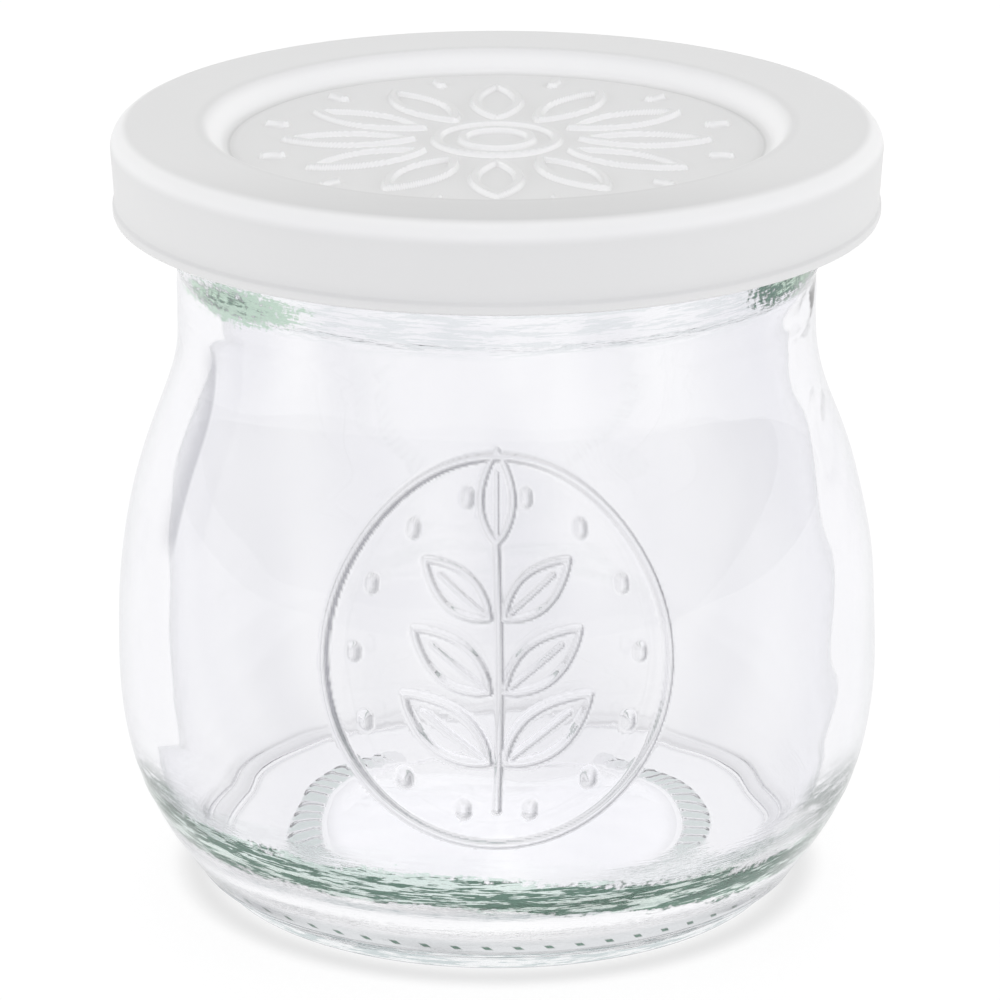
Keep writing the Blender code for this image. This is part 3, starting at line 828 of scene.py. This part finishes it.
plasticLook = {
    "ior": 1.5, "roughness": 0.38, "cloudy": 0.08,
    "colour": ((0.75, 0.75, 0.745), (0.78, 0.78, 0.775)),
    # bright is the painted light's colour and dull the painted shade's
    "bright": (0.97, 0.97, 0.965), "dull": (0.66, 0.66, 0.655),
    # how strong the painted shoulder highlight and the painted shade in the groove and on the crest are, and
    # where the front brim's painted shade fades
    "shoulder": 0.7, "groove": 0.8, "crest": 0.5, "frontEdge": (-36.0, -14.0),
    "topRise": (71.0, 71.2), "shoulderRise": (71.6, 72.6), "brimRise": (72.9, 73.3),
}


def whitePlastic():
    # satin, with painted light on the raised lines' flanks, on the recess wall and on the shoulder,
    # and painted shade in the groove, on the crest and on the front brim
    look = plasticLook
    s = coverSizes
    b = Bench(bpy.data.materials.new("whitePlastic"))
    where = b.place()
    x = b.axis(where, "X") / mm
    y = b.axis(where, "Y") / mm
    z = b.axis(where, "Z") / mm
    radius = (x ** 2.0 + y ** 2.0) ** 0.5
    cloud = b.noise(where, 45.0, 1.0)
    grain = b.noise(where, 2600.0, 0.0)
    lines = b.attribute("paintedLineLightAndShade")
    above = z.rise(*look["topRise"])
    wall = radius.within(s["panelRadius"] + 0.5, s["recess"] - 0.5, 0.6) * above
    shoulder = radius.rise(s["radius"] - 1.7, s["radius"] - 0.9) * z.rise(*look["shoulderRise"])
    paintedLight = lines + wall + shoulder * look["shoulder"]
    colour = b.mix(paintedLight, b.mix(cloud, *look["colour"]), look["bright"])
    groove = radius.within(s["panelRadius"] - 0.3, s["panelRadius"] - 0.05, 0.1) * look["groove"]
    crest = radius.within(s["recess"], s["recess"] + 0.3, 0.5) * look["crest"]
    brim = radius.within(s["recess"], s["radius"] - 1.8, 0.3) * z.rise(*look["brimRise"])
    front = (1 - y.rise(*look["frontEdge"])) * brim
    return b.paint({
        "Base Color": b.mix((groove + crest) * above + front, colour, look["dull"]),
        "Roughness": look["roughness"] + look["cloudy"] * cloud, "IOR": look["ior"],
        "Normal": b.bump(grain, 0.02 * mm, 0.5),
    })


# the studio: a pale floor that glows, so that it stays white under the glass, a soft sky and softboxes
studio = {
    "floor": ((0.1, 0.1, 0.1), (0.11, 0.11, 0.11)), "glow": 0.93, "open": 1.0,
    # under is a painted pool of light under the glass, and the weaker glow round the foot a painted contact
    # shadow
    "under": 1.25, "paintedPoolRing": (16.0, 18.0), "paintedContactShadow": 0.8, "paintedContactShadowRing": (27.4, 30.5, 1.6),
    "top": 0.45, "left": 0.5, "right": 0.4, "flag": 9.0, "front": (0.6, 0.6, 0.66), "back": 0.97,
    "backRise": (-0.3, 0.6), "sideRise": (-0.1, 0.1), "topRise": (0.3, 0.75), "aim": (0.0, 0.0, 0.04),
}
softboxes = {
    "softboxTop": {"place": (0.0, 0.2, 0.8), "size": 0.4, "power": 1.65},
    "softboxFront": {"place": (0.0, -0.8, 0.43), "size": 0.4, "power": 0.8},
    "softboxLeft": {"place": (-0.75, -0.25, 0.4), "size": 0.5, "power": 1.35},
    "softboxRight": {"place": (0.75, -0.25, 0.4), "size": 0.5, "power": 1.5},
}


def grey(value):
    return (value, value, value)


def makeFloor():
    # painted light and shade in its glow: a painted pool of light, a stronger glow under the glass, and a
    # painted contact shadow, a weaker glow where the foot touches it
    b = Bench(bpy.data.materials.new("palePaint"))
    where = b.place()
    colour = b.mix(b.noise(where, 8.0), *studio["floor"])
    radius = (b.axis(where, "X") ** 2.0 + b.axis(where, "Y") ** 2.0) ** 0.5 / mm
    under = b.mix(radius.rise(*studio["paintedPoolRing"]), grey(studio["under"]), grey(studio["open"]))
    glow = b.mix(radius.within(*studio["paintedContactShadowRing"]), under, grey(studio["paintedContactShadow"]))
    paint = b.paint({"Base Color": colour, "Roughness": 0.8, "Specular IOR Level": 0.1,
                     "Emission Color": glow, "Emission Strength": studio["glow"]})
    shape = bmesh.new()
    bmesh.ops.create_grid(shape, x_segments=4, y_segments=4, size=3.0)
    floor = objectOf("studioFloor", meshOf("studioFloor", shape), paint)


def makeSky():
    # bright behind, darker at the sides, greyer above and in front
    world = bpy.data.worlds.new("studioSky")
    b = Bench(world)
    way = b.node("ShaderNodeTexCoord", out="Generated")
    x = b.axis(way, "X")
    low = b.mix(b.axis(way, "Y").rise(*studio["backRise"]), studio["front"], grey(studio["back"]))
    side = b.mix(x.rise(*studio["sideRise"]), grey(studio["left"]), grey(studio["right"]))
    flagged = b.mix(x.size() ** studio["flag"], low, side)
    whole = b.mix(b.axis(way, "Z").rise(*studio["topRise"]), flagged, grey(studio["top"]))
    b.feed(b.tree.nodes["Background"].inputs["Color"], whole)
    bpy.context.scene.world = world


def makeSoftboxes():
    for name, box in softboxes.items():
        light = bpy.data.lights.new(name, "AREA")
        light.shape = "SQUARE"
        light.size = box["size"]
        light.energy = box["power"]
        made = bpy.data.objects.new(name, light)
        made.location = box["place"]
        made.visible_glossy = False
        made.visible_transmission = False
        made.rotation_euler = (Vector(studio["aim"]) - made.location).to_track_quat("-Z", "Y").to_euler()
        bpy.context.scene.collection.objects.link(made)


# the photograph's viewing angle, in degrees and millimetres
view = {"aim": (0.29, 0.0, 36.39), "elevation": 18.89, "distance": 506.2, "lens": 192.384, "sensor": 36.0}


def makeCamera():
    lens = bpy.data.cameras.new("photoCamera")
    lens.sensor_width = view["sensor"]
    lens.lens = view["lens"]
    lens.clip_start = 0.01
    camera = bpy.data.objects.new("photoCamera", lens)
    aim = Vector(view["aim"]) * mm
    tilt = math.radians(view["elevation"])
    camera.location = aim + Vector((0.0, -math.cos(tilt), math.sin(tilt))) * view["distance"] * mm
    camera.rotation_euler = (aim - camera.location).to_track_quat("-Z", "Y").to_euler()
    bpy.context.scene.collection.objects.link(camera)
    bpy.context.scene.camera = camera


makeCamera()
makeJar(clearGlass(), streakyGlass())
makeCover(whitePlastic())
makeFloor()
makeSky()
makeSoftboxes()

# light bounces many times inside the wall before it leaves it
scene = bpy.context.scene
scene.view_settings.view_transform = "Standard"
scene.cycles.max_bounces = 40
scene.cycles.transmission_bounces = 12
scene.cycles.glossy_bounces = 32
print("studio ready")
